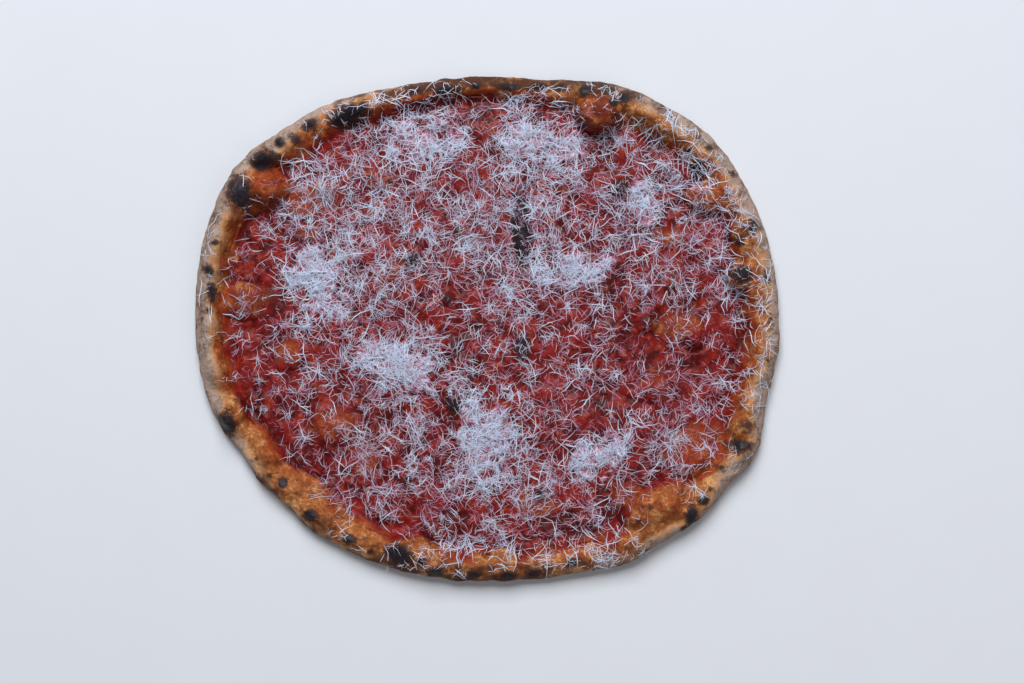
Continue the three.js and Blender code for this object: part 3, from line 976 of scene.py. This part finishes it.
def lay_shreds(ground, random, places, name, length, width, curl, sink):
    """Lays a piece of shreds, in shares of a long shred's length and width, over the ground"""
    x, y, width = shred_lines(random, places, length, width, curl)
    z = settle(ground, x, y, width, sink)
    count = len(places)
    piece = copies_of(shred_template(), count, name, smooth=False)
    copy, raw = read_copies(piece)
    station = np.rint((raw[:, 0] + 1) / 2 * (STATIONS - 1)).astype(int)
    side, over = raw[:, 1:].T / BAR_RADIUS
    taper = np.array([0.3, 0.85, 1, 0.85, 0.3])
    corner = 0.58  # from a triangle's middle to its corners, as a share of its side
    reach = width[copy] * taper[station] * corner
    slope_x = np.gradient(x, axis=1)[copy, station]
    slope_y = np.gradient(y, axis=1)[copy, station]
    run = np.hypot(slope_x, slope_y) + 1e-9
    px = x[copy, station] - slope_y / run * side * reach
    py = y[copy, station] + slope_x / run * side * reach
    pz = z[copy, station] + over * reach
    paint(piece.data, "tone", random.uniform(size=count)[copy])
    on_rim = smoothstep(rim_share(sizes(), px, py), 0.95, 0.7)
    lift = (pz - ground.bare[ground.cells(px, py)]) / DRY_HEIGHT + on_rim
    paint(piece.data, "lift", np.clip(lift, 0, 1))
    write_points(piece.data, np.column_stack([px, py, pz]))
    return piece


def build_cheese():
    """The mounds and the loose shreds, laid from the lowest up"""
    random = np.random.default_rng(CHEESE_SEED)
    ground = Ground()
    build_mats()
    soaked = cheese_finish("soaked cheese", 0.55)
    fresh = cheese_finish("grated cheese", 0)
    mounds = [f"cheese_mound_{i + 1}" for i in range(len(CHEESE_MOUNDS))]
    # Piece, count, shreds to a tuft, where they lie, length, width, curl, sink, finish, nodes
    layers = [
        ("soaked_shreds", 5700, 2, soaked_share, 0.8, 0.66, 0.24, 0.4, soaked, []),
        ("fine_shreds", 5900, 4, cheese_share, 0.65, 0.545, 0.3, 0, fresh, []),
        ("web_shreds", 3800, 4, cheese_share, 1.25, 0.61, 0.26, 0, fresh, []),
        ("mounded_shreds", 1800, 4, mound_share, 0.85, 0.74, 0.2, 0, fresh, mounds),
        ("loose_shreds", 1800, 2, cheese_share, 1.45, 0.83, 0.16, 0, fresh, []),
    ]
    for name, count, tuft, share, length, width, curl, sink, finish, nodes in layers:
        places = drawn_places(count, share, random, tuft)
        piece = lay_shreds(ground, random, places, name, length, width, curl, sink)
        finish_piece(piece, finish, "cheese", *nodes)


def herb_share(x, y):
    """How thick the herbs lie, from 0 to 1"""
    return smoothstep(rim_share(sizes(), x, y), 0.5, 1.1)


def build_herbs():
    """Dried herb flakes scattered over the sauce and the cheese"""
    random = np.random.default_rng(HERB_SEED)
    places = drawn_places(HERB_COUNT, herb_share, random, tuft=1)
    ground = Ground(cell=1.5)
    bm = bmesh.new()
    bmesh.ops.create_icosphere(bm, subdivisions=1, radius=FLAKE_RADIUS)
    piece = copies_of(bm, HERB_COUNT, "dried_herbs")
    copy, raw = read_copies(piece)
    along, aside, over = raw.T / FLAKE_RADIUS
    long = random.uniform(0.3, 0.8, HERB_COUNT)[copy]
    wide = random.uniform(0.15, 0.4, HERB_COUNT)[copy]
    turn = random.uniform(0, math.pi, HERB_COUNT)[copy]
    x, y = turned(along * long, aside * wide, turn, *places[copy].T)
    z = ground.bare[ground.cells(places[:, 0], places[:, 1])][copy] + 0.35 + over * 0.3
    paint(piece.data, "tone", random.uniform(size=HERB_COUNT)[copy])
    write_points(piece.data, np.column_stack([x, y, z]))
    finish_piece(piece, herb_finish("dried herbs"), "cheese")


# Finishes


def screen_to_light(channel):
    """A colour channel as light, from the value a screen shows"""
    return channel / 12.92 if channel <= 0.04045 else ((channel + 0.055) / 1.055) ** 2.4


def tint(name):
    """One of the pizza's colours as light, with alpha"""
    shown = getattr(bpy.context.scene.pizza_colours, name)
    return (*(screen_to_light(channel) for channel in shown), 1)


class Finish:
    """A material and the nodes that make it"""

    def __init__(self, name):
        self.material = bpy.data.materials.new(name)
        self.material.use_nodes = True
        self.tree = self.material.node_tree
        self.shader = self.tree.nodes["Principled BSDF"]

    def node(self, kind, settings=None, sockets=None, output=0):
        """Adds a node: its settings first, then its sockets; gives one output as a Channel"""
        node = self.tree.nodes.new(kind)
        for key, value in (settings or {}).items():
            setattr(node, key, value)
        for key, value in (sockets or {}).items():
            self.plug(node.inputs[key], value)
        return Channel(self, node.outputs[output])

    def plug(self, socket, value):
        """Links a Channel to a socket, or sets a plain value"""
        if isinstance(value, Channel):
            self.tree.links.new(value.socket, socket)
        else:
            socket.default_value = value

    def mark(self, name):
        """What is painted on the mesh under a name"""
        return self.node("ShaderNodeAttribute", {"attribute_name": name}, output="Fac")

    def noise(self, size_mm, detail=2.0, roughness=0.5):
        """Soft noise from -0.5 to 0.5 with lumps of a size in millimetres"""
        sockets = {"Scale": 1 / (size_mm * MM), "Detail": detail, "Roughness": roughness}
        sockets["Vector"] = self.node("ShaderNodeTexCoord", output="Object")
        return self.node("ShaderNodeTexNoise", sockets=sockets, output="Fac") - 0.5

    def blend(self, share, first, second):
        """First colour where the share is 0, second where it is 1"""
        settings = {"data_type": "RGBA", "blend_type": "MIX"}
        return self.node("ShaderNodeMix", settings, {0: share, 6: first, 7: second}, output=2)

    def bumps(self, height, depth_mm, under=None):
        """Relief from a height, over other relief"""
        sockets = {"Height": height, "Distance": depth_mm * MM, "Strength": 1.0}
        if under:
            sockets["Normal"] = under
        return self.node("ShaderNodeBump", sockets=sockets, output="Normal")

    def set(self, **sockets):
        """Sets or links the shader's sockets, by name with _ for a space"""
        for key, value in sockets.items():
            self.plug(self.shader.inputs[key.replace("_", " ")], value)
        return self.material


class Channel:
    """A number or colour in a finish, which can be used in sums"""

    def __init__(self, finish, socket):
        self.finish = finish
        self.socket = socket

    def maths(self, operation, first, second):
        """A Math node on two numbers"""
        return self.finish.node("ShaderNodeMath", {"operation": operation}, {0: first, 1: second})

    def __add__(self, other):
        return self.maths("ADD", self, other)

    def __sub__(self, other):
        return self.maths("SUBTRACT", self, other)

    def __rsub__(self, other):
        return self.maths("SUBTRACT", other, self)

    def __mul__(self, other):
        return self.maths("MULTIPLY", self, other)

    __radd__ = __add__
    __rmul__ = __mul__

    def over(self, low, high):
        """A soft step from 0 at low to 1 at high"""
        sockets = {"Value": self, "From Min": low, "From Max": high}
        settings = {"interpolation_type": "SMOOTHSTEP"}
        return self.finish.node("ShaderNodeMapRange", settings, sockets)


def dough_finish(name):
    """Baked dough that goes from floury through golden to sauce, with burnt spots"""
    finish = Finish(name)
    blend = finish.blend
    broad = finish.noise(16, 3)
    patch = finish.noise(6, 3)
    fleck = finish.noise(2.2, 4, 0.6)
    grain = finish.noise(0.9, 3, 0.6)
    flour = (finish.mark("flour") + patch * 1.1 + fleck * 0.3 + grain * 0.3).over(0.1, 0.9)
    stain = (finish.mark("stain") + broad * 0.9 + patch * 0.7 + fleck * 0.3).over(0.1, 0.9)
    sauce = (finish.mark("sauce") + broad * 0.6 + patch * 0.8 + fleck * 0.4).over(0.12, 0.8)
    burn = finish.mark("scorch") + fleck * 0.4 + grain * 0.4
    # Browning from the bake mark, which also holds painted light that makes the south-east crust
    # paler
    toast_and_light = (finish.mark("bake") + broad * 1.6 + patch * 1.4 + fleck * 0.3).over(0.3, 1.1)
    mottle = broad * 0.6 + patch * 0.8 + fleck * 0.8 + grain * 0.5
    pale = blend(mottle.over(-0.16, 0.34), tint("flour"), tint("dusty"))
    golden = blend(mottle.over(-0.28, 0), tint("butter"), tint("golden"))
    golden = blend(mottle.over(0, 0.3), golden, tint("tan"))
    orange = blend(mottle.over(-0.3, -0.06), tint("golden"), tint("orange"))
    orange = blend(mottle.over(0, 0.26), orange, tint("russet"))
    dough = blend(flour, golden, pale)
    dough = blend(stain * 0.9, dough, orange)
    dough = blend(flour * (1 - flour) * 1.8, dough, tint("butter"))
    baked = blend(stain * 0.8, tint("brown"), tint("russet"))
    dough = blend(toast_and_light * 0.9, dough, baked)
    thick = broad * 0.8 + patch * 0.8 + fleck * 0.6 + grain * 0.4
    red = blend(thick.over(-0.2, 0.2), tint("deep_sauce"), tint("sauce"))
    oily = (finish.noise(8, 5, 0.65) + fleck * 0.5 + grain * 0.4).over(0.03, 0.22)
    red = blend(oily * 0.6, red, tint("oil"))
    haze = (finish.noise(5, 4, 0.7) + grain * 0.3).over(0, 0.24)
    red = blend(haze * 0.1, red, tint("melted"))
    top = blend(sauce, dough, red)
    top = blend((grain + fleck * 0.5).over(0.14, 0.26) * 0.5, top, tint("russet"))
    top = blend(burn.over(0.36, 0.7) * 0.9, top, tint("brown"))
    charred = burn.over(0.6, 0.88)
    # Char flecked with the ash colour: partly real ash, partly painted glints of the char's shine
    soot_and_glint = blend((fleck + grain).over(0.02, 0.3) * 0.6, tint("char"), tint("ash_and_glint"))
    top = blend(charred, top, soot_and_glint)
    spotted = blend((patch + fleck).over(-0.02, 0.2) * 0.8, tint("flour"), tint("tan"))
    top = blend(finish.mark("underside"), top, spotted)
    wet = sauce * (1 - charred)
    relief = finish.bumps(patch * (1 - 0.5 * wet), 1.0)
    relief = finish.bumps(fleck * (1 - 0.4 * wet), 0.6, relief)
    relief = finish.bumps(grain * (1 - 0.5 * wet), 0.22, relief)
    return finish.set(
        Base_Color=top,
        Roughness=0.7 - wet * 0.28 - charred * 0.25 + grain * 0.4,
        Normal=relief,
        Coat_Weight=wet * 0.06 + charred * 0.06,
        Coat_Roughness=0.22,
        Specular_IOR_Level=0.1,
    )


def cheese_finish(name, soaked, specks=0):
    """Finely grated hard cheese, duller and redder where it has sunk in, with specks of sauce"""
    finish = Finish(name)
    tone = finish.mark("tone")
    low = 1 - finish.mark("lift").over(0.04, 0.38)
    sunk = (low * 0.5 + (tone - 0.5) * 0.5 + finish.noise(7, 2) * 0.6 + soaked).over(0, 1)
    body = finish.blend(sunk, tint("cheese"), tint("melted"))
    if specks:
        red = (finish.noise(1.3, 2) * specks + 0.5).over(0, 1)
        body = finish.blend(red, body, tint("sauce"))
    return finish.set(
        Base_Color=body,
        Roughness=0.5 + tone * 0.15,
        Specular_IOR_Level=0.35,
        Subsurface_Weight=0.6,
        Subsurface_Radius=(1, 0.75, 0.8),
        Subsurface_Scale=0.0015,
    )


def herb_finish(name):
    """Dried herb flakes, each a little greener or browner"""
    finish = Finish(name)
    shade = finish.blend(finish.mark("tone"), tint("herb"), tint("char"))
    return finish.set(Base_Color=shade, Roughness=0.8)


# Stage


def area_light(name, place, target, width, watts, tone):
    """A soft square lamp aimed at a point"""
    lamp = bpy.data.lights.new(name, "AREA")
    lamp.shape = "SQUARE"
    lamp.size = width
    lamp.energy = watts
    lamp.color = tone
    stand = bpy.data.objects.new(name, lamp)
    stand.location = place
    stand.rotation_euler = (Vector(target) - Vector(place)).to_track_quat("-Z", "Y").to_euler()
    bpy.context.scene.collection.objects.link(stand)


def build_stage():
    """The plain floor, the soft studio light and the camera straight above"""
    bm = bmesh.new()
    bmesh.ops.create_grid(bm, x_segments=8, y_segments=8, size=6)
    bmesh.ops.translate(bm, vec=(0, 0, -0.4 * MM), verts=bm.verts)
    floor = piece_from(bm, "studio_floor")
    paper = Finish("pale floor")
    faint = paper.noise(40, 2) + 0.5
    paper.set(Base_Color=paper.blend(faint * 0.05, tint("floor"), tint("flour")), Roughness=0.9)
    floor.data.materials.append(paper.material)
    area_light("key", (-0.25, 1.8, 2.23), (0, 0, 0), 1.7, 126, (0.9, 0.95, 1))
    area_light("fill", (0.9, -0.7, 1.3), (0, 0, 0), 1.2, 5, (1, 0.97, 0.95))
    scene = bpy.context.scene
    scene.view_settings.view_transform = "Standard"
    scene.world = bpy.data.worlds.new("studio")
    scene.world.use_nodes = True
    sky = scene.world.node_tree.nodes["Background"]
    sky.inputs["Color"].default_value = (0.86, 0.9, 1, 1)
    sky.inputs["Strength"].default_value = 0.16
    camera = bpy.data.cameras.new("camera")
    height = 1100
    camera.lens = camera.sensor_width * height / (PHOTO_WIDTH * PHOTO_SCALE)
    camera.clip_end = 20
    eye = bpy.data.objects.new("camera", camera)
    right, up = PHOTO_MIDDLE
    eye.location = Vector((right * PHOTO_SCALE, up * PHOTO_SCALE, height + SCALE_HEIGHT)) * MM
    scene.collection.objects.link(eye)
    scene.camera = eye


# Operators and panel


class PIZZA_OT_crust(bpy.types.Operator):
    """Make the baked dough with its rim and blisters"""

    bl_idname = "pizza.crust"
    bl_label = "Crust"

    def execute(self, context):
        build_crust()
        return {"FINISHED"}


class PIZZA_OT_sauce(bpy.types.Operator):
    """Make the layer of tomato sauce"""

    bl_idname = "pizza.sauce"
    bl_label = "Tomato sauce"

    def execute(self, context):
        build_sauce()
        return {"FINISHED"}


class PIZZA_OT_cheese(bpy.types.Operator):
    """Lay the grated cheese over the sauce and the rim"""

    bl_idname = "pizza.cheese"
    bl_label = "Grated cheese"

    def execute(self, context):
        build_cheese()
        return {"FINISHED"}


class PIZZA_OT_herbs(bpy.types.Operator):
    """Scatter the dried herbs"""

    bl_idname = "pizza.herbs"
    bl_label = "Dried herbs"

    def execute(self, context):
        build_herbs()
        return {"FINISHED"}


class PIZZA_OT_stage(bpy.types.Operator):
    """Set the floor, the lights and the camera"""

    bl_idname = "pizza.stage"
    bl_label = "Stage"

    def execute(self, context):
        build_stage()
        return {"FINISHED"}


STEPS = (PIZZA_OT_crust, PIZZA_OT_sauce, PIZZA_OT_cheese, PIZZA_OT_herbs, PIZZA_OT_stage)


class PIZZA_PT_panel(bpy.types.Panel):
    """Sizes, colours and the steps that make the pizza"""

    bl_label = "Pizza"
    bl_idname = "PIZZA_PT_panel"
    bl_space_type = "VIEW_3D"
    bl_region_type = "UI"
    bl_category = "Pizza"

    def draw(self, context):
        for group in (context.scene.pizza_sizes, context.scene.pizza_colours):
            box = self.layout.box()
            for name in group.__annotations__:
                box.prop(group, name)
        for step in STEPS:
            self.layout.operator(step.bl_idname)


CLASSES = (PizzaSizes, PizzaColours, *STEPS, PIZZA_PT_panel)


def register():
    for item in CLASSES:
        bpy.utils.register_class(item)
    bpy.types.Scene.pizza_sizes = bpy.props.PointerProperty(type=PizzaSizes)
    bpy.types.Scene.pizza_colours = bpy.props.PointerProperty(type=PizzaColours)


def unregister():
    del bpy.types.Scene.pizza_colours
    del bpy.types.Scene.pizza_sizes
    for item in reversed(CLASSES):
        bpy.utils.unregister_class(item)


def main():
    register()
    for step in STEPS:
        family, name = step.bl_idname.split(".")
        getattr(getattr(bpy.ops, family), name)()


if __name__ == "__main__":
    main()
